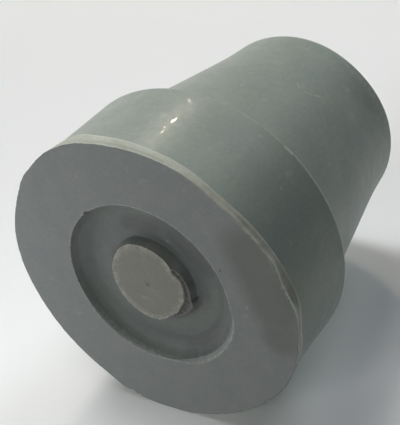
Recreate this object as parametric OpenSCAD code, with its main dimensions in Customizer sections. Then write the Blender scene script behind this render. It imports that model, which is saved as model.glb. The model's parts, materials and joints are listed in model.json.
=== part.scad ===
// Rubber cane tip: one moulded piece. It stands on its tread, +Z up towards the mouth that the
// cane goes into, with the origin at the middle of the tread. All sizes are in millimetres.

/* [Overall] */
// Height of the tip, from the tread to the mouth
tip_h = 39.4; // [36:0.2:60]

/* [Collar] */
// Diameter of the thick collar at the foot
collar_d = 38; // [37:0.5:50]
// Height of the collar above the ground
collar_h = 13.1; // [12:0.1:16]
// Rounding of the collar's upper edge
collar_edge_r = 0.5; // [0.2:0.1:0.8]

/* [Foot lip] */
// How far the lip around the tread stands out from the collar
lip_out = 0.4; // [0.2:0.1:1]
// Height of the lip
lip_h = 1.9; // [1.6:0.1:3]
// Height of the slope that leads from the lip back to the collar
lip_slope_h = 0.5; // [0.3:0.1:1]
// Rounding of the edge between the lip and the tread
lip_edge_r = 0.3; // [0.1:0.05:0.5]

/* [Trimmed side of the foot] */
// Width of the bevel on the tread, where the trimming is deepest
trim_w = 1.0; // [0.6:0.1:1.2]
// Height of the bevel, where the trimming is deepest
trim_h = 0.9; // [0.5:0.1:1.5]
// What the trimming leaves of the lip above the bevel, where it is deepest
trim_left = 0.1; // [0.05:0.05:0.3]
// How far the trimming is off the middle: a larger value trims a shorter stretch of the lip
trim_offset = 1.5; // [1:0.1:5]
// Direction in which the trimming is deepest
trim_angle = 175; // [0:5:355]

/* [Tread ring and boss] */
// Diameter of the recess at the tread
recess_d = 22.1; // [20:0.1:26]
// Depth of the recess
recess_depth = 1.8; // [1.6:0.1:4]
// Slope of the recess wall, in degrees from upright
recess_draft = 25; // [15:1:35]
// Rounding between the recess wall and its floor
recess_floor_r = 2; // [0.8:0.1:2]
// Diameter of the boss in the middle of the recess, at its top
boss_d = 10.2; // [6:0.1:12]
// How far the top of the boss lies above the ground
boss_sink = 0.25; // [0.1:0.05:0.8]
// Slope of the boss side, in degrees from upright
boss_draft = 18; // [5:1:20]
// Rounding at the foot of the boss
boss_foot_r = 0.6; // [0.3:0.1:1]

/* [Neck] */
// Diameter of the neck where it leaves the collar
neck_root_d = 34.4; // [32:0.1:35]
// Diameter of the neck at its knee, where it becomes nearly straight
neck_knee_d = 27.4; // [27:0.1:31]
// Height of the knee below the mouth
neck_knee_drop = 5; // [4:0.2:10]
// Diameter of the neck at the mouth
mouth_d = 26.5; // [26:0.1:27]
// Rounding between the neck and the collar's shoulder
neck_root_r = 0.9; // [0.4:0.1:1]
// Radius of the long curve at the knee
neck_knee_r = 60; // [30:5:90]
// Rounding of the mouth's outer edge
rim_outer_r = 0.9; // [0.4:0.1:1]
// Rounding of the mouth's inner edge
rim_inner_r = 0.6; // [0.3:0.1:1]

/* [Bore] */
// Diameter of the bore that grips the cane
bore_d = 19; // [15:0.1:20]
// Thickness of solid rubber between the recess and the bottom of the bore
web_t = 8.6; // [5:0.1:10]
// Rounding of the bore's bottom corner
bore_floor_r = 1.2; // [0.5:0.1:2]

/* [Quality] */
// Smoothness of round shapes
smoothness = 120; // [60:12:180]
// Number of flats that make up the rounding of each edge
edge_steps = 6; // [3:1:12]

/* [Hidden] */
$fn = smoothness;

// Amount by which a cutting shape reaches past the surface that it cuts
over = 1;
// Radii
collar_r = collar_d / 2;
lip_r = collar_r + lip_out;
recess_r = recess_d / 2;
boss_r = boss_d / 2;
bore_r = bore_d / 2;
// Heights
neck_knee_h = tip_h - neck_knee_drop;
bore_floor_h = recess_depth + web_t;
// Radii at the floor of the recess, where the sloping walls reach it
recess_floor_x = recess_r - recess_depth * tan(recess_draft);
boss_foot_x = boss_r + (recess_depth - boss_sink) * tan(boss_draft);
// Height at which the lip ends
lip_top = lip_h + lip_slope_h;
// The trimming keeps what is inside a turned shape that stands beside the middle. These are its
// radii on the tread and above the bevel, and its slope between them.
trim_foot_x = lip_r - trim_w + trim_offset;
trim_side_x = collar_r + trim_left + trim_offset;
trim_slope = (trim_side_x - trim_foot_x) / trim_h;

// The tip's half section is one outline, from the middle of the tread round to the bottom of
// the bore. Each corner is [distance from the axis, height, radius of its rounding].
tread_corners = [
    [0, boss_sink, 0],
    [boss_r, boss_sink, 0],
    [boss_foot_x, recess_depth, boss_foot_r],
    [recess_floor_x, recess_depth, recess_floor_r],
    [recess_r, 0, 0]
];
collar_corners = [
    [lip_r, 0, lip_edge_r],
    [lip_r, lip_h, 0],
    [collar_r, lip_top, 0],
    [collar_r, collar_h, collar_edge_r]
];
neck_corners = [
    [neck_root_d / 2, collar_h, neck_root_r],
    [neck_knee_d / 2, neck_knee_h, neck_knee_r],
    [mouth_d / 2, tip_h, rim_outer_r]
];
bore_corners = [
    [bore_r, tip_h, rim_inner_r],
    [bore_r, bore_floor_h, bore_floor_r],
    [0, bore_floor_h, 0]
];

// Unit vector from one point to another
function towards(a, b) = (b - a) / norm(b - a);

// Points that replace an outline's corner p, between its neighbours a and b, with an arc
function corner_arc(a, p, b, r) = let (
    u = towards(p, a),
    v = towards(p, b),
    half = acos(u * v) / 2,
    middle = p + (u + v) / norm(u + v) * r / sin(half),
    start = p + u * r / tan(half) - middle,
    first = atan2(start.y, start.x),
    sweep = sign(cross(v, u)) * (180 - 2 * half)
) [for (i = [0:edge_steps]) middle + r * [
    cos(first + sweep * i / edge_steps),
    sin(first + sweep * i / edge_steps)
]];

// Point of a corner without its radius
function spot(corner) = [corner.x, corner.y];

// Outline through a list of corners, each with its rounding
function rounded(corners) = let (last = len(corners) - 1) [
    for (i = [0:last])
        each corners[i].z == 0 ? [spot(corners[i])] :
            corner_arc(spot(corners[i - 1]), spot(corners[i]), spot(corners[i + 1]), corners[i].z)
];

// What the trimming takes off the foot: a bevel on the tread and most of the lip above it
module trimming() {
    rotate([0, 0, trim_angle]) difference() {
        translate([0, 0, -over]) cylinder(h = lip_top + 2 * over, r = 2 * lip_r);
        translate([-trim_offset, 0, 0]) rotate_extrude() polygon([
            [0, -2 * over],
            [trim_foot_x - 2 * over * trim_slope, -2 * over],
            [trim_side_x, trim_h],
            [trim_side_x, lip_top + 2 * over],
            [0, lip_top + 2 * over]
        ]);
    }
}

module cane_tip() {
    color([0.44, 0.48, 0.44]) difference() {
        rotate_extrude()
            polygon(rounded(concat(tread_corners, collar_corners, neck_corners, bore_corners)));
        trimming();
    }
}

cane_tip();
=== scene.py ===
"""Looks of a used rubber cane tip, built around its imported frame.

The tip is one moulding: a thick collar, a flared neck with a blind bore, and a ringed tread whose
edge was trimmed by hand. Its mesh is a turned section that changes with the angle around the axis.
Sizes are in millimetres and angles in degrees, and the meshes are in metres, as the frame is.
"""

import json
import logging
import math
from collections.abc import Sequence
from dataclasses import dataclass, field
from enum import IntEnum
from typing import ClassVar

import bpy
import numpy as np
from mathutils import Matrix, Vector


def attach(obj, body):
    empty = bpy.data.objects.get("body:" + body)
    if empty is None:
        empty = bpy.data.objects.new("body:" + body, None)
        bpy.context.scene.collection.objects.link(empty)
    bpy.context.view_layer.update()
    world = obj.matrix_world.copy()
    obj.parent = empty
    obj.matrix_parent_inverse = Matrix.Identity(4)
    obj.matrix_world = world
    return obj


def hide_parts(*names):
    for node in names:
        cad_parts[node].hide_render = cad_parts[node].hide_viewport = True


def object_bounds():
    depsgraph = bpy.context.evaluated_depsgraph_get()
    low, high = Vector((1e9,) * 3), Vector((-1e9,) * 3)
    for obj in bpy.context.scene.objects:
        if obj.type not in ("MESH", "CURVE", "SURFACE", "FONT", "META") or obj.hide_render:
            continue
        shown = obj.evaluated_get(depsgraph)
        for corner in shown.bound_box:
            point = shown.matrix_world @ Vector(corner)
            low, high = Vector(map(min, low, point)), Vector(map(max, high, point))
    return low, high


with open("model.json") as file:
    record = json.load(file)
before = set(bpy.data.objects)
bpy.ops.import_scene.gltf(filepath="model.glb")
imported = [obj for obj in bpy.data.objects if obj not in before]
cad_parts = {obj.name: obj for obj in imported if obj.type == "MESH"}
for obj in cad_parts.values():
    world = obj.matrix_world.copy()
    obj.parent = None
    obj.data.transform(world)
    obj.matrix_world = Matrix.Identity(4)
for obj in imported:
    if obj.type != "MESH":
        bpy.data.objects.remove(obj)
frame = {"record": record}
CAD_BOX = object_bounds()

LOG = logging.getLogger("cane_tip")
MM = 0.001
# Columns of the mesh around the axis. Many more would take it past 200,000 triangles.
COLUMNS = 576
ANGLES = np.arange(COLUMNS) * 360.0 / COLUMNS
# Roundings and wear take at most this share of a side, so that no two rings meet.
MOST_OF_SIDE = 0.96
TINY = 1e-9
# A trace that is shorter than this, in millimetres, is a round spot.
SPOT_LENGTH = 0.02

Tree = bpy.types.NodeTree
Socket = bpy.types.NodeSocket


# ---------------------------------------------------------------- shapes around the axis


def gap_to(centre: float) -> np.ndarray:
    """Signed angle from centre to each column, from -180 to 180."""
    return (ANGLES - centre + 180.0) % 360.0 - 180.0


def softened(line: np.ndarray, degrees: float) -> np.ndarray:
    """Rounds the corners of a line around the axis.

    Args:
        line: one value per column.
        degrees: how wide the rounding is.

    Returns:
        The rounded line.
    """
    kernel = np.exp(-((gap_to(0.0) / degrees) ** 2))
    blurred = np.fft.ifft(np.fft.fft(line) * np.fft.fft(kernel / kernel.sum()))
    return blurred.real


@dataclass(frozen=True)
class Course:
    """A value that changes around the axis, carried from each given angle to the next one.

    Attributes:
        angles: the given angles, in rising order.
        values: the value at each of them.
        soft: degrees over which its corners are rounded.
    """

    angles: Sequence[float]
    values: Sequence[float]
    soft: float

    def line(self) -> np.ndarray:
        """The value at each column."""
        return softened(np.interp(ANGLES, self.angles, self.values, period=360.0), self.soft)


@dataclass(frozen=True)
class Stretch:
    """A value that holds along one stretch around the axis, and is 0 elsewhere.

    Attributes:
        start: angle at which the stretch starts.
        end: angle at which it ends.
        soft: degrees over which each end fades.
        value: the value along it.
    """

    start: float
    end: float
    soft: float
    value: float = 1.0

    def line(self) -> np.ndarray:
        """Works out the stretch, with S-shaped ends.

        Returns:
            The value at each column.
        """
        middle = (self.start + self.end) / 2.0
        inside = (self.end - self.start) / 2.0 - np.abs(gap_to(middle))
        share = np.clip(inside / self.soft + 0.5, 0.0, 1.0)
        return self.value * (share * share * (3.0 - 2.0 * share))


@dataclass(frozen=True)
class Nib:
    """A small torn flake in a line around the axis, or a nick where out is negative.

    Attributes:
        angle: direction of its middle.
        half_width: degrees from its middle to where only 8% of it is left.
        out: how far it stands out.
    """

    angle: float
    half_width: float
    out: float

    def line(self) -> np.ndarray:
        """How far it stands out at each column, as a bell curve."""
        return self.out * np.exp(-((1.6 * gap_to(self.angle) / self.half_width) ** 2))


@dataclass(frozen=True)
class Ripple:
    """An uneven line around the axis.

    Attributes:
        seed: picks the line. The same seed gives the same line.
        waves: fewest and most waves in one turn.
        amount: its largest swing to either side.
    """

    seed: int
    waves: tuple[int, int]
    amount: float

    def line(self) -> np.ndarray:
        """Draws the line as a sum of waves, of which the short ones are lower.

        Returns:
            The swing at each column.
        """
        rng = np.random.default_rng(self.seed)
        counts = np.arange(self.waves[0], self.waves[1] + 1)
        phases = rng.uniform(0.0, 2.0 * math.pi, len(counts))
        heights = rng.normal(0.0, 1.0, len(counts)) / np.sqrt(counts)
        turned = np.radians(ANGLES)[:, None] * counts + phases
        line = (np.sin(turned) * heights).sum(axis=1)
        return self.amount * line / np.abs(line).max()


# ---------------------------------------------------------------- the turned section


class Finish(IntEnum):
    """Finish of a stretch of the surface. The number is its material slot on the mesh."""

    MOULDED = 0
    CUT = 1
    TREAD = 2
    RECESS = 3
    BOSS_FACE = 4


@dataclass
class Corner:
    """One corner of the turned section.

    Attributes:
        radius: distance from the axis, one value or one per column.
        height: height above the ground, likewise.
        rounding: how far the rounding reaches along both sides.
        arc_rings: rings in the rounding.
        side_rings: rings on the stretch that leads on from here.
        finish: finish of that stretch.
        wear_and_shading: how pale it is painted, from 0 to 1, for wear and painted light, and how
            dark, to -1, for dirt and painted shade.
        fade: how far this fades out on the side before and on the side after.
        rest: wear and painted shading of the stretch that leads on from here, between the corners.
    """

    radius: float | np.ndarray
    height: float | np.ndarray
    rounding: float = 0.0
    arc_rings: int = 4
    side_rings: int = 1
    finish: Finish = Finish.MOULDED
    wear_and_shading: float | np.ndarray = 0.0
    fade: tuple[float, float] = (0.0, 0.0)
    rest: float | np.ndarray = 0.0

    def reach(self, side: int) -> float:
        """How far rounding and wear go along the side before, 0, or the side after, 1."""
        return self.rounding + self.fade[side]

    def spot(self) -> np.ndarray:
        """Radius and height at each column, as one array of two columns."""
        ones = np.ones(COLUMNS)
        return np.stack([self.radius * ones, self.height * ones], axis=1)


@dataclass
class Ring:
    """One ring of the mesh.

    Attributes:
        spot: radius and height at each column.
        finish: finish of the stretch that leads on from it.
        wear_and_shading: how pale or dark it is painted at each column, for wear and for painted
            light and shade.
    """

    spot: np.ndarray
    finish: Finish
    wear_and_shading: np.ndarray


def moved(start: np.ndarray, end: np.ndarray, reach: float, needed: float) -> np.ndarray:
    """Finds spots on the sides from each start to each end.

    Args:
        start: where the sides start.
        end: where they end.
        reach: how far from the start the spots lie, where the side is long enough.
        needed: what both ends of the side take of it. A shorter side is shared in proportion.

    Returns:
        The spots.
    """
    step = end - start
    length = np.maximum(np.linalg.norm(step, axis=1, keepdims=True), TINY)
    return start + step * np.minimum(reach / length, MOST_OF_SIDE * reach / max(needed, TINY))


def rounded_rings(corners: list[Corner], i: int) -> list[Ring]:
    """Rounds one corner.

    Args:
        corners: the section's corners in order.
        i: which of them is rounded.

    Returns:
        The rings of its rounding, and those where its wear ends.
    """
    corner, before, after = corners[i], corners[i - 1], corners[i + 1]
    here, back, ahead = corner.spot(), before.spot(), after.spot()
    bare = np.zeros(COLUMNS)
    back_need = corner.reach(0) + before.reach(1)
    ahead_need = corner.reach(1) + after.reach(0)
    start = moved(here, back, corner.rounding, back_need)
    end = moved(here, ahead, corner.rounding, ahead_need)
    # Wear and shading that go on past the rounding have only lost 40% where the rounding ends.
    fall = 0.4 if max(corner.fade) else 1.0
    rings: list[Ring] = []
    if corner.fade[0]:
        spots = moved(here, back, corner.reach(0), back_need)
        rings.append(Ring(spots, before.finish, bare + before.rest))
    for share in np.linspace(0.0, 1.0, corner.arc_rings):
        bent = (1 - share) ** 2 * start + 2 * share * (1 - share) * here + share**2 * end
        paled = bare + corner.wear_and_shading * (1.0 - fall * abs(2.0 * share - 1.0) ** 2)
        rings.append(Ring(bent, before.finish if share < 0.5 else corner.finish, paled))
    rings[-1].finish = corner.finish
    if corner.fade[1]:
        spots = moved(here, ahead, corner.reach(1), ahead_need)
        rings.append(Ring(spots, corner.finish, bare + corner.rest))
    return rings


def rings_through(corners: list[Corner]) -> list[Ring]:
    """Lays rings through all corners, with their roundings.

    Args:
        corners: the section's corners in order.

    Returns:
        The rings, from the first corner to the last.
    """
    rings: list[Ring] = []
    bare = np.zeros(COLUMNS)
    for i, corner in enumerate(corners):
        if corner.rounding and 0 < i < len(corners) - 1:
            rings.extend(rounded_rings(corners, i))
        else:
            rings.append(Ring(corner.spot(), corner.finish, bare + corner.wear_and_shading))
        if i < len(corners) - 1 and corner.side_rings > 1:
            after = corners[i + 1]
            last = rings[-1].spot
            needed = corner.reach(1) + after.reach(0)
            goal = moved(after.spot(), corner.spot(), after.reach(0), needed)
            for share in np.linspace(0.0, 1.0, corner.side_rings + 1)[1:-1]:
                spots = last + (goal - last) * share
                rings.append(Ring(spots, corner.finish, bare + corner.rest))
    return rings


# ---------------------------------------------------------------- the tip


@dataclass(frozen=True)
class Cut:
    """Where two strokes of the trimming knife meet on the foot's edge.

    Attributes:
        angle: direction from the axis.
        depth: how far the tread's edge lies inside the lip there.
        stand: how far outside the collar's side the cut face ends.
        height: how high above the ground it ends.
    """

    angle: float
    depth: float
    stand: float
    height: float


@dataclass
class TrimmedFoot:
    """The foot's edge: a low lip that was trimmed back by hand on one side.

    Attributes:
        collar_radius: radius of the collar's plain side.
        lip_radius: radius of the lip where the knife left it.
        lip_height: height at which that lip ends.
        slope_height: height of the slope that leads from it back to the collar.
        least_slope: what is left of this slope, and of the lip's top, where all was trimmed.
        hollow: how far the cut face is hollow halfway up.
        cuts: where the strokes of the knife meet.
        nibs: torn flakes and nicks along the tread's edge.
        edge_ripple: unevenness of the tread's edge.
        side_ripple: unevenness of the cut's upper edge.
        shade_angles: angles at which the cut face's paler and darker paint is given.
        low_shade: how much paler, above 0, or darker, below 0, the cut face is painted below its
            middle.
        high_shade: how much paler, above 0, or darker, below 0, the cut face is painted above its
            middle.
        rub: wear of both edges of the cut.
        rub_ripple: how much this comes and goes.
        spared: how much less pale the tread's edge is painted along one stretch.
        groove_angles: angles at which the groove behind the torn edge is given.
        groove_depth: its depth.
        groove_height: where it lies, as a share of the cut's height.
    """

    collar_radius: float
    lip_radius: float
    lip_height: float = 1.9
    slope_height: float = 0.5
    least_slope: float = 0.1
    hollow: float = 0.01
    cuts: tuple[Cut, ...] = (
        Cut(10, -0.05, 0.40, 1.5),
        Cut(34, -0.05, 0.40, 1.6),
        Cut(48, -0.18, 0.40, 1.7),
        Cut(60, -0.17, 0.40, 1.8),
        Cut(67, -0.05, 0.38, 1.9),
        Cut(75, 0.11, 0.30, 2.1),
        Cut(83, 0.12, 0.25, 2.2),
        Cut(90, -0.05, 0.25, 2.3),
        Cut(99, 0.10, 0.20, 2.4),
        Cut(107, 0.00, 0.15, 2.5),
        Cut(119, 0.10, 0.08, 2.6),
        Cut(124, 0.20, 0.05, 2.3),
        Cut(128, 0.36, 0.00, 2.0),
        Cut(133, 0.52, 0.00, 1.56),
        Cut(140, 0.72, 0.00, 1.3),
        Cut(154, 0.78, 0.00, 1.0),
        Cut(168, 0.72, 0.00, 0.90),
        Cut(176, 0.88, 0.00, 0.68),
        Cut(182, 1.02, 0.00, 0.53),
        Cut(189, 0.78, 0.00, 0.67),
        Cut(196, 0.75, 0.00, 0.92),
        Cut(202, 0.49, 0.00, 1.10),
        Cut(206, 0.36, 0.00, 1.23),
        Cut(211, 0.30, 0.00, 1.40),
        Cut(217, 0.42, 0.00, 1.65),
        Cut(221, 0.24, 0.00, 1.87),
        Cut(224, -0.02, 0.00, 2.00),
        Cut(228, -0.28, 0.00, 2.07),
        Cut(233, -0.22, 0.00, 2.00),
        Cut(240, -0.16, 0.00, 1.78),
        Cut(249, -0.21, 0.05, 2.25),
        Cut(258, -0.17, 0.20, 2.10),
        Cut(265, -0.12, 0.40, 1.80),
        Cut(272, 0.10, 0.40, 1.7),
        Cut(281, 0.25, 0.40, 1.7),
        Cut(300, 0.28, 0.40, 1.8),
        Cut(309, 0.20, 0.40, 1.8),
        Cut(316, 0.00, 0.40, 1.7),
        Cut(326, -0.20, 0.40, 1.6),
        Cut(333, -0.32, 0.40, 1.5),
        Cut(340, -0.50, 0.40, 1.5),
        Cut(347, -0.50, 0.40, 1.5),
        Cut(351, -0.25, 0.40, 1.5),
        Cut(356, -0.10, 0.40, 1.5),
    )
    nibs: tuple[Nib, ...] = (
        Nib(208.5, 3.4, 0.15),
        Nib(219.0, 1.4, 0.12),
        Nib(275.5, 1.5, -0.30),
        Nib(190.0, 0.9, 0.06),
        Nib(341.5, 1.8, -0.35),
        Nib(338.6, 1.0, -0.25),
        Nib(244.0, 1.4, 0.10),
    )
    edge_ripple: Ripple = Ripple(11, (40, 150), 0.035)
    side_ripple: Ripple = Ripple(12, (30, 120), 0.02)
    shade_angles: ClassVar[tuple[float, ...]] = (
        (100, 105, 112, 130, 140, 160, 180, 190, 207, 218, 225, 237, 250, 268)
    )
    low_shade: Course = Course(
        shade_angles,
        (-0.34, -0.07, -0.3, -0.34, -0.36, -0.28, 0.6)
        + (-0.18, -0.2, 1.2, -0.5, -0.76, -0.6, -0.4),
        soft=2.0,
    )
    high_shade: Course = Course(
        shade_angles,
        (-0.32, -0.16, -0.34, -0.16, -0.18, -0.02, 0.2)
        + (-0.26, -0.22, -0.08, -0.36, -0.7, -0.64, -0.42),
        soft=2.0,
    )
    rub: Course = Course(
        (80, 110, 150, 186, 196, 224, 232, 240, 262),
        (0.2, 0.1, 0.1, 0.9, 1.9, 1.9, 0.4, -0.1, -0.2),
        soft=3.0,
    )
    rub_ripple: Ripple = Ripple(13, (8, 60), 0.4)
    spared: Stretch = Stretch(105.0, 168.0, 24.0, 0.25)
    groove_angles: ClassVar[tuple[float, ...]] = (206, 213, 219, 224, 228, 232, 238, 250)
    groove_depth: Course = Course(
        groove_angles,
        (0.00, 0.08, 0.24, 0.34, 0.26, 0.10, 0.05, 0.0),
        soft=1.0,
    )
    groove_height: Course = Course(
        groove_angles,
        (0.50, 0.40, 0.28, 0.38, 0.52, 0.58, 0.55, 0.50),
        soft=1.0,
    )

    def line(self, values: list[float]) -> np.ndarray:
        """One value per cut, carried round the foot with the knife's corners a little soft."""
        return Course([cut.angle for cut in self.cuts], values, soft=1.2).line()

    def tread_edge(self) -> np.ndarray:
        """Cuts the tread's outer edge.

        Returns:
            Its radius at each column.
        """
        edge = self.lip_radius - self.line([cut.depth for cut in self.cuts])
        edge += self.edge_ripple.line()
        for nib in self.nibs:
            edge += nib.line()
        return edge

    def corners(self) -> list[Corner]:
        """Lays the section from the tread's edge up to where the collar's plain side starts.

        Returns:
            Its corners in order.
        """
        edge = self.tread_edge()
        stand = self.line([cut.stand for cut in self.cuts])
        side = self.collar_radius + stand + self.side_ripple.line()
        height = self.line([cut.height for cut in self.cuts])
        groove = self.groove_depth.line()
        groove_height = height * self.groove_height.line()
        middle = (edge + side) / 2.0 - groove - self.hollow
        kept = np.clip(stand / (self.lip_radius - self.collar_radius), 0.0, 1.0)
        lip_top = height + self.least_slope + kept * np.maximum(self.lip_height - height, 0.0)
        collar_start = lip_top + self.least_slope + (self.slope_height - self.least_slope) * kept
        low, high = self.low_shade.line(), self.high_shade.line()
        # Light doesn't reach far into the groove, and dirt stays in it.
        middle_shade = 0.2 * low + 0.8 * high - 0.4 * groove
        paled = self.rub.line() * (1.0 + self.rub_ripple.line())
        edge_wear = paled - self.spared.line()
        cut = Finish.CUT
        # Radius, height, rounding, rings in it, rings on the side after it, finish and wear.
        return [
            Corner(edge, 0.0, 0.09, 4, 2, cut, edge_wear, fade=(0.16, 0.26), rest=low),
            Corner(middle, groove_height, side_rings=3, finish=cut, wear_and_shading=middle_shade, rest=high),
            Corner(side, height, 0.08, wear_and_shading=paled, fade=(0.18, 0.0)),
            Corner(self.collar_radius + stand, lip_top, 0.08, arc_rings=3),
            Corner(self.collar_radius, collar_start, 0.10, arc_rings=3, side_rings=9),
        ]


@dataclass
class Boss:
    """The boss in the middle of the recess, cut off by hand where the mould was fed.

    Attributes:
        recess_depth: height of the recess's floor above the ground.
        sink: height of the cut face above the ground.
        foot_radius: radius of the boss at its foot, where the ledge leaves room for it.
        least_side: what is left between the ledge's edge and the foot where it is least.
        pit_radius: radius of the small pit in the middle of the face.
        pit_floor: radius of its floor.
        pit_depth: its depth.
        face_edge: radius of the cut face's edge.
        face_ripple: its unevenness.
        ledge_angles: angles at which the torn ledge's edge is given.
        ledge_radii: its radius at each of them.
        ledge_ripple: its unevenness.
        step: how far the step down from the face to the ledge slopes outwards.
        least_ledge: width and drop of the ledge where nothing was torn.
        torn_width: how much wider it is where it counts as fully torn.
        ledge_drop: how much lower it is there.
        torn_ripple: roughness of the torn ledge.
        chip_ripple: how much the rubbing of the face's edge comes and goes.
        mottle_ripple: how much the ledge's dirt comes and goes.
        painted_boss_shade: painted shade on the boss's side and on the floor at its foot.
    """

    recess_depth: float
    sink: float = 0.25
    foot_radius: float = 5.7
    least_side: float = 0.12
    pit_radius: float = 0.26
    pit_floor: float = 0.12
    pit_depth: float = 0.05
    face_edge: Course = Course(
        (7, 41, 62, 86, 106, 124, 139, 154, 168, 181, 192, 200)
        + (209, 218, 232, 246, 263, 278, 294, 317, 333, 349),
        (5.07, 5.05, 5.11, 5.18, 5.46, 5.64, 5.55, 5.44, 5.29, 5.11, 4.78, 4.56)
        + (4.85, 4.96, 4.84, 4.75, 4.51, 4.63, 4.54, 5.05, 5.16, 5.15),
        soft=2.0,
    )
    face_ripple: Ripple = Ripple(24, (30, 110), 0.03)
    ledge_angles: tuple[float, ...] = (
        (188, 194, 200, 210, 217, 227, 236, 243, 247, 252, 259, 269, 276, 286, 292)
    )
    ledge_radii: tuple[float, ...] = (
        (4.90, 4.95, 5.11, 5.32, 5.40, 5.50, 5.48, 5.52, 5.78, 5.88, 5.64, 5.43, 5.20, 4.95, 4.60)
    )
    ledge_ripple: Ripple = Ripple(25, (30, 90), 0.04)
    step: float = 0.05
    least_ledge: float = 0.06
    torn_width: float = 0.3
    ledge_drop: float = 0.16
    torn_ripple: Ripple = Ripple(26, (30, 120), 0.09)
    chip_ripple: Ripple = Ripple(27, (5, 50), 0.35)
    mottle_ripple: Ripple = Ripple(29, (25, 90), 0.5)
    painted_boss_shade: Course = Course(
        (0, 40, 70, 100, 140, 185, 205, 240, 262, 290, 330),
        (0.7, 0.95, 0.9, 0.45, 0.54, 0.5, 0.26, 0.2, 0.36, 0.3, 0.3),
        soft=4.0,
    )

    def ledge_edge(self, face: np.ndarray) -> np.ndarray:
        """Tears the ledge's outer edge.

        Args:
            face: radius of the cut face's edge at each column.

        Returns:
            The radius of the ledge's edge at each column.
        """
        radii = np.interp(ANGLES, self.ledge_angles, self.ledge_radii)
        outer = softened(radii + self.ledge_ripple.line(), 1.2)
        return np.maximum(outer, face + self.least_ledge)

    def corners(self) -> list[Corner]:
        """Lays the section from the middle of the face out to the boss's foot.

        Returns:
            Its corners in order.
        """
        face = self.face_edge.line() + self.face_ripple.line()
        ledge = self.ledge_edge(face)
        torn = np.clip((ledge - face - self.least_ledge) / self.torn_width, 0.0, 1.0)
        drop = self.sink + self.least_ledge + self.ledge_drop * torn
        low = drop + self.least_ledge
        rough = self.torn_ripple.line() * torn
        chips = 0.95 + self.chip_ripple.line()
        mottled = torn * (0.85 + self.mottle_ripple.line())
        painted_boss_shade = self.painted_boss_shade.line()
        foot = np.maximum(self.foot_radius, ledge + self.least_side)
        near, far = face * 0.55 + ledge * 0.45, face * 0.2 + ledge * 0.8
        cut, skin = Finish.BOSS_FACE, Finish.RECESS
        # Radius, height, rounding, rings in it, rings on the side after it, finish, and wear with
        # painted shade.
        return [
            Corner(self.pit_floor, self.sink + self.pit_depth, side_rings=2, finish=cut),
            Corner(self.pit_radius, self.sink, 0.04, 3, 10, cut),
            Corner(face, self.sink, 0.14, 5, 1, cut, chips, fade=(0.85, 0.0)),
            Corner(face + self.step, drop + rough, finish=cut, wear_and_shading=-0.7 * torn),
            Corner(near, drop - rough, finish=cut, wear_and_shading=-mottled),
            Corner(far, drop + rough, finish=cut, wear_and_shading=-0.6 * mottled),
            # The boss's side and the floor at its foot are painted darker: painted shade.
            Corner(ledge, low - rough, 0.08, 4, 5, skin, 0.45 * torn - painted_boss_shade),
            Corner(foot, self.recess_depth, 0.35, 7, 3, skin, -0.8 * painted_boss_shade, fade=(0.5, 0.4)),
        ]


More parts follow.
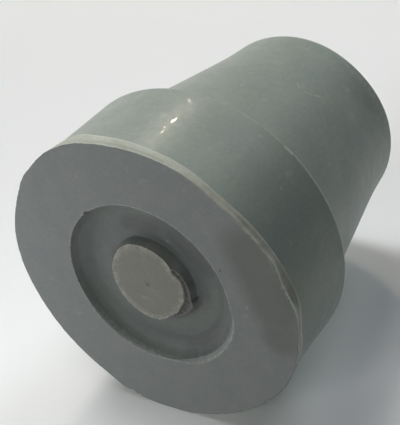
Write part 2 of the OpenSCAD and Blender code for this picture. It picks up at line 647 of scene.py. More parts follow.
@dataclass
class Tread:
    """The tread ring and the ring-shaped recess around the boss.

    Attributes:
        recess_depth: height of the recess's floor above the ground.
        recess_radius: radius of the recess at the tread.
        floor_radius: radius of the ring where its floor is deepest.
        floor_swing: how much deeper the floor is there, and shallower at the wall's foot.
        wall_foot_radius: radius at which the recess's wall meets its floor.
        rim_ripple: unevenness of the recess's rim.
        ragged: the stretch where the rim is ragged.
        narrowing: how much narrower the recess is along one stretch.
        notch: a notch in the rim.
        least_bevel: width of the rim's bevel where it is narrowest.
        bevels: how much wider it is elsewhere.
        bevel_ripple: unevenness of its width.
        rub_ripple: how much the rim's pale paint, from rubbing and a painted highlight, comes and
            goes.
        painted_wall_shading: painted shade and painted light on the recess's wall, darker on some
            sides and paler on others.
    """

    recess_depth: float
    recess_radius: float = 11.05
    floor_radius: float = 7.4
    floor_swing: float = 0.03
    wall_foot_radius: float = 10.2
    rim_ripple: Ripple = Ripple(21, (30, 110), 0.05)
    ragged: Stretch = Stretch(280.0, 470.0, 30.0)
    narrowing: Stretch = Stretch(265.0, 350.0, 30.0, 0.15)
    notch: Nib = Nib(105.0, 2.4, 0.28)
    least_bevel: float = 0.04
    bevels: tuple[Stretch, ...] = (
        Stretch(240.0, 305.0, 24.0, 0.45),
        Stretch(325.0, 380.0, 24.0, 0.22),
    )
    bevel_ripple: Ripple = Ripple(22, (12, 60), 0.02)
    rub_ripple: Ripple = Ripple(28, (6, 60), 0.35)
    painted_wall_shading: Course = Course(
        (0, 25, 50, 125, 150, 165, 185, 205, 232, 258, 285, 302, 320),
        (0.5, 0.2, -0.05, -0.04, -0.12, -0.32, -0.5, -0.5, -0.26, -0.36, -0.5, -0.34, 0.2),
        soft=4.0,
    )

    def recess_edge(self) -> np.ndarray:
        """Lays the recess's rim, which is ragged on one side and even on the other.

        Returns:
            Its radius at each column.
        """
        edge = self.recess_radius + self.rim_ripple.line() * (0.3 + 0.7 * self.ragged.line())
        edge -= self.narrowing.line()
        edge += self.notch.line()
        return edge

    def bevel(self) -> np.ndarray:
        """Width of the bevel along the recess's rim, at each column."""
        wide = sum(stretch.line() for stretch in self.bevels)
        return self.least_bevel + wide + self.bevel_ripple.line()

    def corners(self) -> list[Corner]:
        """Lays the section from the floor of the recess out to the tread ring.

        Returns:
            Its corners in order.
        """
        edge = self.recess_edge()
        bevel = self.bevel()
        deep = self.recess_depth + self.floor_swing
        shallow = self.recess_depth - self.floor_swing
        paled = 0.95 + self.rub_ripple.line()
        wall_shading = self.painted_wall_shading.line()
        wall_dark_shading = np.minimum(wall_shading, 0.0)
        skin, worn = Finish.RECESS, Finish.TREAD
        foot = self.wall_foot_radius
        # Radius, height, rounding, rings in it, rings on the side after it, finish, and wear with
        # painted light and shade.
        return [
            Corner(self.floor_radius, deep, 0.10, 3, 2, skin),
            # The recess's wall is painted darker on some sides and paler on others: painted shade
            # and painted light.
            Corner(foot, shallow, 1.3, 10, 4, skin, wall_dark_shading, fade=(0.5, 0.05), rest=wall_shading),
            # The rim is painted pale: rubbed, and partly a painted highlight where its rounding
            # catches the light.
            Corner(edge, bevel, 0.05, 3, 2, worn, 0.8),
            Corner(edge + bevel, 0.0, 0.06, 3, 10, worn, paled, fade=(0.0, 0.15)),
        ]


@dataclass
class Sleeve:
    """The collar's top, the flared neck and the blind bore.

    Attributes:
        height: height of the mouth above the ground.
        bore_radius: radius of the bore.
        bore_floor: height of the bore's bottom.
        collar_radius: radius of the collar.
        collar_height: height at which the collar ends.
        root_radius: radius of the neck where it leaves the collar.
        knee_radius: radius of the neck where it becomes nearly straight.
        knee_height: height at which it does.
        mouth_radius: radius of the neck at the mouth.
        waver: how far the neck is out of round.
        rub_ripple: how much the rubbing of the collar's edge comes and goes.
        painted_mouth_light: painted light, a paler stretch below the mouth on the neck's shaded
            side.
    """

    height: float
    bore_radius: float
    bore_floor: float
    collar_radius: float
    collar_height: float = 13.1
    root_radius: float = 17.2
    knee_radius: float = 13.7
    knee_height: float = 34.4
    mouth_radius: float = 13.25
    waver: Ripple = Ripple(31, (2, 7), 0.05)
    rub_ripple: Ripple = Ripple(32, (6, 90), 0.25)
    painted_mouth_light: Stretch = Stretch(180.0, 222.0, 24.0, 0.28)

    def corners(self) -> list[Corner]:
        """Lays the section from the collar's top edge over the mouth to the bore's bottom.

        Returns:
            Its corners in order.
        """
        waver = self.waver.line()
        paled = 0.25 + self.rub_ripple.line()
        painted_mouth_light = self.painted_mouth_light.line()
        top = self.collar_height
        knee, mouth = self.knee_radius + waver, self.mouth_radius + waver
        # Radius, height, rounding, rings in it, and rings on the side after it.
        return [
            Corner(self.collar_radius, top, 0.5, 6, 2, wear_and_shading=paled, fade=(0.1, 0.1)),
            Corner(self.root_radius, top, 0.6, 5, 12),
            # The neck just below the mouth is painted paler on one side: painted light.
            Corner(knee, self.knee_height, 3.0, 5, 4, rest=painted_mouth_light),
            Corner(mouth, self.height, 0.8, 7, 3, wear_and_shading=0.5),
            Corner(self.bore_radius, self.height, 0.6, 5, 6, wear_and_shading=0.4),
            Corner(self.bore_radius, self.bore_floor, 1.0, 5, 5),
            Corner(0.2, self.bore_floor),
        ]


@dataclass
class CaneTip:
    """The whole moulding, as one closed mesh.

    Attributes:
        height: height of the tip.
        lip_radius: radius of the lip around the tread.
        bore_radius: radius of the bore.
        lip_out: how far the lip stands out from the collar.
        recess_depth: depth of the recess in the tread.
        web: thickness of the rubber between the recess and the bottom of the bore.
        name: name of the piece.
    """

    height: float
    lip_radius: float
    bore_radius: float
    lip_out: float = 0.4
    recess_depth: float = 1.8
    web: float = 8.6
    name: str = "rubber_tip"
    foot: TrimmedFoot = field(init=False)
    boss: Boss = field(init=False)
    tread: Tread = field(init=False)
    sleeve: Sleeve = field(init=False)

    def __post_init__(self) -> None:
        """Makes the parts of the section from the driving sizes."""
        collar_radius = self.lip_radius - self.lip_out
        bore_floor = self.recess_depth + self.web
        self.foot = TrimmedFoot(collar_radius, self.lip_radius)
        self.boss = Boss(self.recess_depth)
        self.tread = Tread(self.recess_depth)
        self.sleeve = Sleeve(self.height, self.bore_radius, bore_floor, collar_radius)

    def build(self) -> bpy.types.Object:
        """Makes the mesh object, with the wear and painted shading of each point as an attribute.

        Returns:
            The tip, in the frame's place.
        """
        corners = self.boss.corners() + self.tread.corners()
        corners += self.foot.corners() + self.sleeve.corners()
        rings = rings_through(corners)
        turn = np.radians(ANGLES)
        points = []
        for ring in rings:
            radius, height = ring.spot[:, 0], ring.spot[:, 1]
            points.append(np.stack([radius * np.cos(turn), radius * np.sin(turn), height], axis=1))
        first = points[0].mean(axis=0)
        last = points[-1].mean(axis=0)
        everything = np.concatenate(points + [first[None], last[None]]) * MM
        faces, slots = self.faces(rings)
        mesh = bpy.data.meshes.new(self.name)
        mesh.from_pydata(everything.tolist(), [], faces)
        mesh.polygons.foreach_set("material_index", slots)
        mesh.polygons.foreach_set("use_smooth", [True] * len(faces))
        wear_and_shading = mesh.attributes.new("wear_and_shading", "FLOAT", "POINT")
        worn = np.concatenate([ring.wear_and_shading for ring in rings] + [np.zeros(2)])
        wear_and_shading.data.foreach_set("value", worn.astype(np.float32))
        mesh.validate()
        tip = bpy.data.objects.new(self.name, mesh)
        bpy.context.scene.collection.objects.link(tip)
        return tip

    def dress(self, tip: bpy.types.Object) -> None:
        """Gives the tip one material per finish, in the order of their slots."""
        for finish in Finish:
            tip.data.materials.append(FINISHES[finish].build())

    def faces(self, rings: list[Ring]) -> tuple[list[tuple[int, ...]], list[int]]:
        """Faces between all rings, and two fans that close the ends.

        Args:
            rings: the section's rings in order.

        Returns:
            The faces, and each face's material slot.
        """
        columns = range(COLUMNS)
        faces: list[tuple[int, ...]] = []
        slots: list[int] = []
        for i, ring in enumerate(rings[:-1]):
            low, high = i * COLUMNS, (i + 1) * COLUMNS
            for j in columns:
                k = (j + 1) % COLUMNS
                faces.append((low + j, high + j, high + k, low + k))
            slots.extend([int(ring.finish)] * COLUMNS)
        top = (len(rings) - 1) * COLUMNS
        start = len(rings) * COLUMNS
        for j in columns:
            k = (j + 1) % COLUMNS
            faces.append((start, j, k))
            faces.append((start + 1, top + k, top + j))
        slots.extend([int(rings[0].finish), int(rings[-1].finish)] * COLUMNS)
        return faces, slots


# ---------------------------------------------------------------- finishes


def linear(colour: str) -> tuple[float, float, float, float]:
    """Turns a colour to linear.

    Args:
        colour: an sRGB hex value such as "#7b857b".

    Returns:
        The linear red, green and blue, and 1.
    """
    channels = [int(colour[i : i + 2], 16) / 255.0 for i in (1, 3, 5)]
    made = [c / 12.92 if c <= 0.04045 else ((c + 0.055) / 1.055) ** 2.4 for c in channels]
    return (made[0], made[1], made[2], 1.0)


def per_metre(size: float) -> float:
    """Texture scale that gives features of that size in millimetres."""
    return 1.0 / (size * MM)


def node(
    tree: Tree, kind: str, inputs: dict | None = None, **settings: object
) -> bpy.types.Node:
    """Adds one node.

    Args:
        tree: the node tree it goes into.
        kind: Blender's type name, without the leading "ShaderNode".
        inputs: a value or an output socket for each input, by name or number.
        settings: the node's own properties.

    Returns:
        The new node.
    """
    made = tree.nodes.new("ShaderNode" + kind)
    for name, value in settings.items():
        setattr(made, name, value)
    for key, value in (inputs or {}).items():
        if isinstance(value, bpy.types.NodeSocket):
            tree.links.new(value, made.inputs[key])
        else:
            made.inputs[key].default_value = value
    return made


def node_material(name: str) -> bpy.types.Material:
    """Makes a material with an empty node tree.

    Args:
        name: the material's name.

    Returns:
        The material.
    """
    material = bpy.data.materials.new(name)
    material.use_nodes = True
    material.node_tree.nodes.clear()
    return material


class TraceKind(IntEnum):
    """What a trace does to the rubber."""

    PALE = 0
    DARK = 1
    POLISHED = 2


@dataclass(frozen=True)
class Trace:
    """A scratch, a spot, a shiny patch, a painted highlight or a patch of painted shade.

    Attributes:
        kind: what it does to the rubber.
        start: distance from the axis, angle and height of one end.
        end: the same of its other end.
        width: how wide it is.
        strength: how clearly it shows, from 0 to 1.
    """

    kind: TraceKind
    start: tuple[float, float, float]
    end: tuple[float, float, float]
    width: float
    strength: float = 1.0

    @staticmethod
    def spot(place: tuple[float, float, float]) -> Vector:
        """Turns a place into coordinates.

        Args:
            place: its distance from the axis, angle and height.

        Returns:
            Its x, y and z, in metres.
        """
        radius, angle, height = place
        turn = math.radians(angle)
        return Vector((radius * math.cos(turn), radius * math.sin(turn), height)) * MM

    def share(self, tree: Tree, place: Socket) -> Socket:
        """Works out how much of the trace there is at each place.

        Args:
            tree: the material's node tree.
            place: object coordinates.

        Returns:
            The share, from 0 to the trace's strength, with edges that fade over its width.
        """
        start, end = self.spot(self.start), self.spot(self.end)
        along = end - start
        short = SPOT_LENGTH * MM
        length = max(along.length, short)
        along = along / length if along.length > short else Vector((0.0, 0.0, 1.0))
        offset = node(tree, "VectorMath", {0: place, 1: start}, operation="SUBTRACT").outputs[0]
        reach = node(
            tree, "VectorMath", {0: offset, 1: along}, operation="DOT_PRODUCT"
        ).outputs["Value"]
        held = node(tree, "Clamp", {"Value": reach, "Min": 0.0, "Max": length}).outputs[0]
        nearest = node(
            tree, "VectorMath", {0: along, "Scale": held}, operation="SCALE"
        ).outputs[0]
        away = node(
            tree, "VectorMath", {0: offset, 1: nearest}, operation="DISTANCE"
        ).outputs["Value"]
        inside = {"From Min": self.width * 0.25 * MM, "From Max": self.width * 0.75 * MM}
        return node(
            tree,
            "MapRange",
            {"Value": away, **inside, "To Min": self.strength, "To Max": 0.0},
            interpolation_type="SMOOTHSTEP",
        ).outputs["Result"]


@dataclass(frozen=True)
class Rubber:
    """Grey-green filled rubber, with the finish that its making gave one stretch of it.

    Attributes:
        name: the material's name.
        colour: its main colour.
        tint: the colour of its broad, faint patches.
        pale_and_light: the colour of rubbed edges, scuffs and specks, and of painted highlights
            and painted light.
        dirt_and_shade: the colour of dirt in its corners, and of painted shade.
        roughness: mean roughness.
        swing: how much handling changes the roughness.
        patch: size of the broad patches.
        grain: size of the fine grain, drawn some times coarser than it is so that it shows.
        grain_depth: depth of the fine grain.
        drawn: how grain and scuffs are drawn out in x, y and z. Smaller is longer.
        scuffs: how much of the surface shows pale scuffs, from 0 to 1.
        scratches: how clearly fine scratches show, from 0 to 1.
        rings: depth of the rings that a turned mould leaves.
        traces: scratches, spots, shiny patches, painted highlights and painted shade, in places of
            their own.
        ior: index of refraction.
        polish: roughness where it was rubbed shiny.
        dryness: how much rougher it is where it is painted pale.
    """

    name: str
    colour: str
    tint: str
    pale_and_light: str
    dirt_and_shade: str
    roughness: float
    swing: float
    patch: float
    grain: float
    grain_depth: float
    drawn: tuple[float, float, float]
    scuffs: float
    scratches: float
    rings: float = 0.0
    traces: tuple[Trace, ...] = ()
    ior: float = 1.5
    polish: float = 0.16
    dryness: float = 0.15

    def build(self) -> bpy.types.Material:
        """Makes the node material.

        Returns:
            The material.
        """
        material = node_material(self.name)
        tree = material.node_tree
        place = node(tree, "TexCoord").outputs["Object"]
        drawn = node(
            tree, "VectorMath", {0: place, 1: self.drawn}, operation="MULTIPLY"
        ).outputs["Vector"]
        lines = self.scratch_lines(tree, place)
        pale_and_light, dark, polished = self.shares(tree, place, drawn, lines)
        inputs = {
            "Base Color": self.colours(tree, place, pale_and_light, dark),
            "Roughness": self.sheen(tree, place, pale_and_light, polished),
            "Normal": self.relief(tree, place, drawn, lines),
            "IOR": self.ior,
        }
        shader = node(tree, "BsdfPrincipled", inputs)
        node(tree, "OutputMaterial", {"Surface": shader.outputs["BSDF"]})
        return material

    def scratch_lines(self, tree: Tree, place: Socket) -> Socket:
        """Draws fine straight scratches, 0.05 mm wide and some millimetres long.

        They are the edges of cells 3.1 mm wide, askew and drawn out, and a slow noise shows
        or hides them.

        Args:
            tree: the material's node tree.
            place: object coordinates.

        Returns:
            How clearly a scratch shows at each place.
        """
        turned = node(
            tree, "Mapping", {"Vector": place, "Rotation": (0.6, 0.35, 0.8), "Scale": (1, 1, 0.22)}
        ).outputs["Vector"]
        cells = node(
            tree,
            "TexVoronoi",
            {"Vector": turned, "Scale": per_metre(3.1)},
            feature="DISTANCE_TO_EDGE",
        ).outputs["Distance"]
        thin = node(
            tree,
            "MapRange",
            {"Value": cells, "From Min": 0.0, "From Max": 0.018, "To Min": 1.0, "To Max": 0.0},
        ).outputs["Result"]
        patchy = node(
            tree, "TexNoise", {"Vector": place, "Scale": per_metre(3.4), "Detail": 2.0}
        ).outputs["Fac"]
        kept = node(
            tree,
            "MapRange",
            {"Value": patchy, "From Min": 0.52, "From Max": 0.66, "To Max": self.scratches},
        ).outputs["Result"]
        return node(tree, "Math", {0: thin, 1: kept}, operation="MULTIPLY").outputs[0]

    def specks(self, tree: Tree, place: Socket) -> Socket:
        """Strews specks of dust and filler, about 0.2 mm across, in one cell of three.

        Args:
            tree: the material's node tree.
            place: object coordinates.

        Returns:
            How clearly a speck shows at each place.
        """
        cells = node(tree, "TexVoronoi", {"Vector": place, "Scale": per_metre(1.5)}).outputs
        edge = {"From Min": 0.05, "From Max": 0.10, "To Min": 0.25, "To Max": 0.0}
        dots = node(tree, "MapRange", {"Value": cells["Distance"], **edge}).outputs["Result"]
        chosen = node(
            tree, "Math", {0: cells["Color"], 1: 0.68}, operation="GREATER_THAN"
        ).outputs[0]
        return node(tree, "Math", {0: dots, 1: chosen}, operation="MULTIPLY").outputs[0]

    def scuff_marks(self, tree: Tree, drawn: Socket) -> Socket:
        """Rubs pale scuffs over the highest places of a noise, 1.6 mm wide.

        Args:
            tree: the material's node tree.
            drawn: object coordinates, drawn out along the scuffs.

        Returns:
            How clearly a scuff shows at each place.
        """
        noise = node(
            tree,
            "TexNoise",
            {"Vector": drawn, "Scale": per_metre(1.6), "Detail": 6.0, "Roughness": 0.62},
        ).outputs["Fac"]
        high = {"From Min": 0.64 - 0.2 * self.scuffs, "From Max": 0.80 - 0.1 * self.scuffs}
        return node(tree, "MapRange", {"Value": noise, **high, "To Max": 0.45}).outputs["Result"]

    def shares(
        self, tree: Tree, place: Socket, drawn: Socket, lines: Socket
    ) -> list[Socket | float]:
        """Works out how pale, how dark and how polished each place is.

        Args:
            tree: the material's node tree.
            place: object coordinates.
            drawn: the same, drawn out along the scuffs.
            lines: the fine scratches.

        Returns:
            One share for each trace kind, from 0 to 1. It is a plain 0 where there is none.
        """
        wear_and_shading = node(tree, "Attribute", attribute_name="wear_and_shading").outputs["Fac"]
        crumbs = node(
            tree,
            "TexNoise",
            {"Vector": place, "Scale": per_metre(0.5), "Detail": 4.0, "Roughness": 0.65},
        ).outputs["Fac"]
        broken = node(
            tree, "MapRange", {"Value": crumbs, "From Min": 0.40, "From Max": 0.6, "To Min": 0.2}
        ).outputs["Result"]
        # Wear above 0 paints a place pale, for rubbing and for painted light. Wear below 0 paints
        # it dark, for dirt and for painted shade.
        paled = node(
            tree, "Math", {0: wear_and_shading, 1: broken}, operation="MULTIPLY", use_clamp=True
        ).outputs[0]
        darkened = node(
            tree, "Math", {0: wear_and_shading, 1: -1.0}, operation="MULTIPLY", use_clamp=True
        ).outputs[0]
        found = {
            TraceKind.PALE: [
                paled, self.scuff_marks(tree, drawn), self.specks(tree, place), lines
            ],
            TraceKind.DARK: [darkened],
            TraceKind.POLISHED: [],
        }
        for trace in self.traces:
            share = trace.share(tree, place)
            if trace.kind is not TraceKind.DARK:
                share = node(tree, "Math", {0: share, 1: broken}, operation="MULTIPLY").outputs[0]
            found[trace.kind].append(share)
        most = []
        for kind in TraceKind:
            top: Socket | float = 0.0
            for share in found[kind]:
                top = node(tree, "Math", {0: top, 1: share}, operation="MAXIMUM").outputs[0]
            most.append(top)
        return most

    def colours(self, tree: Tree, place: Socket, pale_and_light: Socket, dark: Socket) -> Socket:
        """Colours the rubber, with its patches, its rubbed places, its dirt, and painted
        highlights and shade.

        Args:
            tree: the material's node tree.
            place: object coordinates.
            pale_and_light: how pale each place is, for rubbing and for painted light.
            dark: how dark it is, for dirt and for painted shade.

        Returns:
            The colour.
        """
        patches = node(
            tree,
            "TexNoise",
            {"Vector": place, "Scale": per_metre(self.patch), "Detail": 4.0, "Roughness": 0.6},
        ).outputs["Fac"]
        # The filler shows as a fine mottling, half a millimetre across.
        mottling = node(
            tree, "TexNoise", {"Vector": place, "Scale": per_metre(0.5), "Detail": 2.0}
        ).outputs["Fac"]
        both = node(tree, "Mix", {0: 0.45, 2: patches, 3: mottling}).outputs[0]
        share = node(
            tree, "MapRange", {"Value": both, "From Min": 0.38, "From Max": 0.62}
        ).outputs["Result"]
        colour = linear(self.colour)
        for part, other in ((share, self.tint), (pale_and_light, self.pale_and_light), (dark, self.dirt_and_shade)):
            inputs = {0: part, 6: colour, 7: linear(other)}
            colour = node(tree, "Mix", inputs, data_type="RGBA").outputs[2]
        return colour

    def sheen(
        self, tree: Tree, place: Socket, pale_and_light: Socket, polished: Socket | float
    ) -> Socket:
        """Sets the roughness: smudges from hands, rougher pale places and polished ones.

        Args:
            tree: the material's node tree.
            place: object coordinates.
            pale_and_light: how pale each place is, for rubbing and for painted light.
            polished: how polished it is.

        Returns:
            The roughness.
        """
        smudges = node(
            tree,
            "TexNoise",
            {"Vector": place, "Scale": per_metre(2.6), "Detail": 5.0, "Roughness": 0.6},
        ).outputs["Fac"]
        limits = {"To Min": self.roughness - self.swing, "To Max": self.roughness + self.swing}
        handled = node(
            tree, "MapRange", {"Value": smudges, "From Min": 0.3, "From Max": 0.7, **limits}
        ).outputs["Result"]
        dry = node(tree, "Math", {0: pale_and_light, 1: self.dryness}, operation="MULTIPLY").outputs[0]
        dried = node(
            tree, "Math", {0: handled, 1: dry}, operation="ADD", use_clamp=True
        ).outputs[0]
        return node(tree, "Mix", {0: polished, 2: dried, 3: self.polish}).outputs[0]

    def relief(self, tree: Tree, place: Socket, drawn: Socket, lines: Socket) -> Socket:
        """Shapes the normal: slow waves, fine grain, scratches and the mould's rings.

        Args:
            tree: the material's node tree.
            place: object coordinates.
            drawn: the same, drawn out along the grain.
            lines: the fine scratches.

        Returns:
            The normal.
        """
        waves = node(
            tree, "TexNoise", {"Vector": place, "Scale": per_metre(3.0), "Detail": 2.0}
        ).outputs["Fac"]
        grain = node(
            tree, "TexNoise", {"Vector": drawn, "Scale": per_metre(self.grain), "Detail": 3.0}
        ).outputs["Fac"]
        # Each height, its depth in millimetres, and whether it is sunk into the surface.
        layers = [(waves, 0.04, False), (grain, self.grain_depth, False), (lines, 0.02, True)]
        if self.rings:
            layers.append((self.mould_rings(tree, place), self.rings, False))
        inputs = {"Strength": 1.0}
        for height, depth, sunk in layers:
            inputs |= {"Height": height, "Distance": depth * MM}
            normal = node(tree, "Bump", inputs, invert=sunk).outputs["Normal"]
            inputs["Normal"] = normal
        return normal

    @staticmethod
    def mould_rings(tree: Tree, place: Socket) -> Socket:
        """Turns the rings of the mould, 0.7 mm apart.

        Args:
            tree: the material's node tree.
            place: object coordinates.

        Returns:
            Their height.
        """
        flat = node(
            tree, "VectorMath", {0: place, 1: (1.0, 1.0, 0.0)}, operation="MULTIPLY"
        ).outputs["Vector"]
        radius = node(tree, "VectorMath", {0: flat}, operation="LENGTH").outputs["Value"]
        return node(
            tree,
            "TexNoise",
            {"W": radius, "Scale": per_metre(0.7), "Detail": 2.0, "Roughness": 0.6},
            noise_dimensions="1D",
        ).outputs["Fac"]


# Chalk-filled rubber, pressed in a smooth steel mould. The skin keeps a satin gloss, with faint
# patches where the compound flowed, smudges from hands and a few scuffs on the neck. A line of
# small places down the collar was rubbed shiny.
MOULDED_SKIN = Rubber(
    name="moulded_rubber_skin",
    colour="#76817a",
    tint="#808a80",
    pale_and_light="#a9aea2",
    dirt_and_shade="#4d534f",
    roughness=0.50,
    swing=0.07,
    patch=5.0,
    grain=0.35,
    grain_depth=0.008,
    drawn=(1.0, 1.0, 0.6),
    scuffs=0.12,
    scratches=0.16,
    traces=(
        Trace(TraceKind.PALE, (14.90, 175.5, 26.7), (14.82, 179.2, 27.2), 0.35, 0.5),
        Trace(TraceKind.PALE, (14.82, 179.2, 27.2), (14.62, 182.5, 28.2), 0.30, 0.6),
        Trace(TraceKind.PALE, (14.76, 169.9, 27.5), (15.00, 173.4, 26.4), 0.25, 0.5),
        Trace(TraceKind.PALE, (14.20, 151.7, 30.6), (14.35, 152.7, 29.7), 0.35, 0.5),
        Trace(TraceKind.PALE, (15.87, 153.3, 20.8), (15.60, 152.4, 22.6), 0.30, 0.4),
        Trace(TraceKind.PALE, (19.00, 194.6, 7.80), (19.00, 194.9, 7.80), 0.28, 0.8),
        Trace(TraceKind.PALE, (19.00, 177.6, 11.4), (19.00, 178.0, 11.4), 0.28, 0.8),
        Trace(TraceKind.PALE, (19.00, 186.5, 12.7), (19.00, 189.5, 12.7), 0.40, 0.9),
        # The pale arc in the next two traces, near the collar's top edge, is a painted highlight.
        Trace(TraceKind.PALE, (19.00, 128.8, 10.9), (19.00, 128.5, 11.8), 0.35, 0.4),
        Trace(TraceKind.PALE, (19.00, 128.5, 11.8), (19.00, 129.4, 12.3), 0.35, 0.4),
        Trace(TraceKind.POLISHED, (19.00, 151.9, 7.6), (19.00, 152.6, 3.4), 6.00, 0.32),
        Trace(TraceKind.POLISHED, (19.00, 151.8, 7.3), (19.00, 152.0, 6.5), 0.44),
        Trace(TraceKind.POLISHED, (19.00, 152.5, 6.6), (19.00, 152.8, 6.1), 0.30, 0.8),
        Trace(TraceKind.POLISHED, (19.00, 152.3, 5.7), (19.00, 151.5, 5.3), 0.34, 0.9),
        Trace(TraceKind.POLISHED, (19.00, 152.9, 5.0), (19.00, 152.2, 4.2), 0.36, 0.9),
        Trace(TraceKind.POLISHED, (19.00, 149.5, 11.2), (19.00, 150.8, 10.9), 0.34),
    ),
)
# The same rubber where a knife trimmed the flash off: dry, matte and paler, with fine drag marks
# that run round the foot.
KNIFE_CUT = Rubber(
    name="knife_cut_rubber",
    colour="#bcc0b3",
    tint="#acb0a4",
    pale_and_light="#cccfc1",
    dirt_and_shade="#4e524c",
    roughness=0.72,
    swing=0.08,
    patch=2.5,
    grain=0.30,
    grain_depth=0.03,
    drawn=(0.5, 0.5, 3.0),
    scuffs=0.45,
    scratches=0.20,
    traces=(Trace(TraceKind.POLISHED, (19.0, 147.7, 1.5), (19.0, 149.1, 1.5), 0.35, 0.8),),
)
# The face that stood on the ground: buffed matte by walking, with a very fine grain.
WORN_TREAD = Rubber(
    name="worn_tread_rubber",
    colour="#7a8080",
    tint="#828683",
    pale_and_light="#abaea5",
    dirt_and_shade="#494b3e",
    roughness=0.68,
    swing=0.06,
    patch=4.0,
    grain=0.22,
    grain_depth=0.010,
    drawn=(1.0, 1.0, 1.0),
    scuffs=0.10,
    scratches=0.14,
    traces=(
        Trace(TraceKind.PALE, (13.50, 229.2, 0.0), (13.50, 229.8, 0.0), 0.30),
        Trace(TraceKind.DARK, (11.87, 207.3, 0.0), (11.87, 207.7, 0.0), 0.25, 0.7),
        # The next two broad dark traces make the tread darker near its edge on one side.
        Trace(TraceKind.DARK, (16.90, 203.0, 0.0), (17.10, 228.0, 0.0), 6.20, 0.50),
        Trace(TraceKind.DARK, (17.10, 228.0, 0.0), (17.50, 242.0, 0.0), 4.50, 0.42),
    ),
)
# Moulded skin in the recess, which the ground never touched, so it kept the rings of the turned
# mould. Its colour is painted darker than the skin outside the recess: painted shade.
RECESS_SKIN = Rubber(
    name="recess_rubber_skin",
    colour="#696f6b",
    tint="#707672",
    pale_and_light="#9ea29b",
    dirt_and_shade="#272a2a",
    roughness=0.60,
    swing=0.07,
    patch=3.0,
    grain=0.30,
    grain_depth=0.008,
    drawn=(1.0, 1.0, 1.0),
    scuffs=0.06,
    scratches=0.08,
    rings=0.06,
    traces=(
        # A pale spot on the floor is a painted highlight.
        Trace(TraceKind.PALE, (6.55, 168.4, 1.8), (6.62, 169.6, 1.8), 0.40, 0.8),
        # The next two dark patches on the floor are painted shade.
        Trace(TraceKind.DARK, (7.50, 126.0, 1.8), (8.50, 160.0, 1.8), 2.40, 0.30),
        Trace(TraceKind.DARK, (8.10, 172.0, 1.8), (8.30, 210.0, 1.8), 2.40, 0.36),
    ),
)
# The boss was cut off where the mould fed it: a dry, even face with a paler rim.
GATE_CUT = Rubber(
    name="gate_cut_rubber",
    colour="#80807a",
    tint="#878780",
    pale_and_light="#b9b8ac",
    dirt_and_shade="#3f3e3a",
    roughness=0.75,
    swing=0.05,
    patch=3.0,
    grain=0.18,
    grain_depth=0.015,
    drawn=(1.0, 1.0, 1.0),
    scuffs=0.12,
    scratches=0.20,
    traces=(
        Trace(TraceKind.DARK, (0.15, 62.0, 0.25), (0.16, 62.0, 0.25), 0.44, 0.50),
        Trace(TraceKind.DARK, (0.30, 80.0, 0.25), (0.60, 95.0, 0.25), 0.40, 0.20),
    ),
)
FINISHES: dict[Finish, Rubber] = {
    Finish.MOULDED: MOULDED_SKIN,
    Finish.CUT: KNIFE_CUT,
    Finish.TREAD: WORN_TREAD,
    Finish.RECESS: RECESS_SKIN,
    Finish.BOSS_FACE: GATE_CUT,
}


# ---------------------------------------------------------------- stage, lamps and camera


@dataclass(frozen=True)
class Stage:
    """A pale ground plane that is there only from its front, and lights nothing.

    Attributes:
        name: the plane's name.
        spot: a point on it.
        facing: the way its front faces.
        colour: its colour.
        mirrored: whether shiny faces show it, as the camera does.
        size: side of the square.
    """

    name: str
    spot: tuple[float, float, float]
    facing: tuple[float, float, float]
    colour: str
    mirrored: bool = False
    size: float = 1600.0

    def build(self) -> bpy.types.Object:
        """Makes the plane.

        Returns:
            The plane.
        """
        half = self.size / 2.0 * MM
        square = [(-half, -half, 0.0), (half, -half, 0.0), (half, half, 0.0), (-half, half, 0.0)]
        mesh = bpy.data.meshes.new(self.name)
        mesh.from_pydata(square, [], [(0, 1, 2, 3)])
        mesh.materials.append(self.paper())
        plane = bpy.data.objects.new(self.name, mesh)
        bpy.context.scene.collection.objects.link(plane)
        plane.location = Vector(self.spot) * MM
        plane.rotation_mode = "QUATERNION"
        plane.rotation_quaternion = Vector(self.facing).to_track_quat("Z", "Y")
        plane.visible_diffuse = False
        plane.visible_glossy = self.mirrored
        plane.visible_transmission = False
        plane.visible_shadow = False
        return plane

    def paper(self) -> bpy.types.Material:
        """Makes its surface: matte pale paper, clear when it is seen from behind.

        Returns:
            The material.
        """
        material = node_material(self.name)
        tree = material.node_tree
        matte = node(tree, "BsdfDiffuse", {"Color": linear(self.colour)}).outputs["BSDF"]
        clear = node(tree, "BsdfTransparent").outputs["BSDF"]
        behind = node(tree, "NewGeometry").outputs["Backfacing"]
        shown = node(tree, "MixShader", {0: behind, 1: matte, 2: clear}).outputs["Shader"]
        node(tree, "OutputMaterial", {"Surface": shown})
        return material


@dataclass(frozen=True)
class Lamp:
    """A square area lamp that points at the tip.

    Attributes:
        name: the lamp's name.
        direction: the way from the tip to the lamp.
        strength: light that it gives at the tip, where 1 lights a face fully.
        colour: its colour.
        distance: how far away it is.
        size: side of the square.
        sheen: whether it shows in glossy faces.
    """

    name: str
    direction: tuple[float, float, float]
    strength: float
    colour: str
    distance: float = 3000.0
    size: float = 1200.0
    sheen: bool = True

    def build(self, target: Vector) -> bpy.types.Object:
        """Makes the lamp.

        Args:
            target: the point that it lights, in metres.

        Returns:
            The lamp.
        """
        light = bpy.data.lights.new(self.name, "AREA")
        light.shape = "SQUARE"
        light.size = self.size * MM
        light.color = linear(self.colour)[:3]
        light.energy = self.strength * math.pi**2 * (self.distance * MM) ** 2
        lamp = bpy.data.objects.new(self.name, light)
        lamp.visible_camera = False
        lamp.visible_glossy = self.sheen
        bpy.context.scene.collection.objects.link(lamp)
        way = Vector(self.direction).normalized()
        lamp.location = target + way * self.distance * MM
        lamp.rotation_mode = "QUATERNION"
        lamp.rotation_quaternion = way.to_track_quat("Z", "Y")
        return lamp


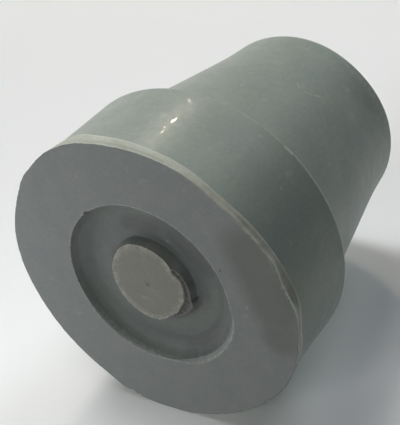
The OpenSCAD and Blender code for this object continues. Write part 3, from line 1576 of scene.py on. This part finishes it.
@dataclass(frozen=True)
class Viewpoint:
    """The camera, as it looks at one point of the tip.

    Attributes:
        aim: the point in the middle of the picture.
        azimuth: 0 looks along +Y, and 90 along -X.
        elevation: angle above the horizon.
        roll: turn about the line of sight.
        distance: from the camera to the aim.
        lens: focal length.
        sensor: width of the sensor.
    """

    aim: tuple[float, float, float]
    azimuth: float
    elevation: float
    roll: float
    distance: float
    lens: float
    sensor: float = 36.0

    def build(self) -> bpy.types.Object:
        """Makes the camera and gives it to the scene.

        Returns:
            The camera.
        """
        azimuth, elevation = math.radians(self.azimuth), math.radians(self.elevation)
        level = math.cos(elevation)
        back = Vector(
            (math.sin(azimuth) * level, -math.cos(azimuth) * level, math.sin(elevation))
        )
        data = bpy.data.cameras.new("camera")
        data.sensor_fit = "HORIZONTAL"
        data.sensor_width = self.sensor
        data.lens = self.lens
        data.clip_start = 0.01
        data.clip_end = 20.0
        camera = bpy.data.objects.new("camera", data)
        bpy.context.scene.collection.objects.link(camera)
        upright = (-back).to_track_quat("-Z", "Y").to_matrix().to_4x4()
        rolled = upright @ Matrix.Rotation(math.radians(self.roll), 4, "Z")
        stand = Matrix.Translation((Vector(self.aim) + back * self.distance) * MM)
        camera.matrix_world = stand @ rolled
        bpy.context.scene.camera = camera
        return camera


# The bench that the tip lies on, and the plain floor under it when it stands.
STAGES = (
    Stage("bench", (15.08, -12.21, 0.0), (-0.777, 0.629, -0.031), "#fafcfc", mirrored=True),
    Stage("floor", (0.0, 0.0, -0.05), (0.0, 0.0, 1.0), "#f2f4f4"),
)
# Soft studio light from all around, strongest above the bench, and one small warm bulb.
LAMPS = (
    Lamp("ceiling", (0.10, -0.15, 0.98), 0.500, "#ffffff", 1500.0, sheen=False),
    Lamp("window", (-0.38, 0.91, 0.14), 0.348, "#fdfeff"),
    Lamp("bottom", (-0.12, 0.37, -0.92), 0.224, "#ffffff"),
    Lamp("side_low", (0.32, -0.86, -0.39), 0.223, "#fffdfe"),
    Lamp("front_high", (-0.66, 0.27, 0.70), 0.222, "#f1f6ff"),
    Lamp("under_back", (0.53, 0.53, -0.66), 0.188, "#f9fbff", 82.7, 40.0),
    Lamp("under_front", (-0.63, 0.63, -0.44), 0.142, "#fffdf8", 78.8, 30.0),
    Lamp("front_low", (-0.55, 0.81, 0.20), 0.133, "#fffffd"),
    Lamp("back_low", (0.91, 0.25, -0.33), 0.132, "#fffbf2"),
    Lamp("upper_back", (0.44, 0.60, 0.66), 0.086, "#fff5f2"),
    Lamp("top_side", (0.47, -0.30, 0.83), 0.086, "#eeefff"),
    Lamp("window_top", (-0.20, 0.78, 0.60), 0.053, "#fefbff"),
    Lamp("under", (0.75, 0.00, -0.66), 0.028, "#fffaf9", 82.7, 40.0),
    Lamp("bulb", (-0.304, 0.684, 0.663), 0.135, "#ffeed7", 501.8, 60.0),
)
VIEWPOINT = Viewpoint(
    aim=(-4.87, 1.09, 9.63),
    azimuth=-84.0,
    elevation=-41.59,
    roll=44.13,
    distance=130.0,
    lens=99.0,
)
ROOM_COLOUR = "#b9bebe"


def build_room(colour: str) -> None:
    """Makes a plain pale room, which the camera and shiny faces see and which lights nothing.

    Args:
        colour: the room's colour.
    """
    world = bpy.data.worlds.new("room")
    bpy.context.scene.world = world
    world.use_nodes = True
    tree = world.node_tree
    tree.nodes.clear()
    path = node(tree, "LightPath").outputs
    seen = path["Is Camera Ray"]
    for ray in ("Is Glossy Ray", "Is Transmission Ray"):
        seen = node(tree, "Math", {0: seen, 1: path[ray]}, operation="MAXIMUM").outputs[0]
    room = node(tree, "Background", {"Color": linear(colour), "Strength": seen})
    node(tree, "OutputWorld", {"Surface": room.outputs["Background"]})


def main() -> None:
    """Builds the tip, its stage, lamps and camera."""
    logging.basicConfig(level=logging.INFO, format="%(message)s")
    bpy.context.scene.view_settings.view_transform = "Standard"
    low, high = CAD_BOX
    bore = next(mount for mount in frame["record"]["mounts"] if mount["name"] == "bore")
    tip = CaneTip(high.z / MM, high.x / MM, bore["dims"]["r_mm"])
    body = tip.build()
    tip.dress(body)
    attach(body, "root")
    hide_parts("cane_tip")
    LOG.info("piece %s rides on root, %d faces", body.name, len(body.data.polygons))

    VIEWPOINT.build()
    for stage in STAGES:
        stage.build()
    build_room(ROOM_COLOUR)
    for lamp in LAMPS:
        lamp.build((low + high) / 2.0)


if __name__ == "__main__":
    main()
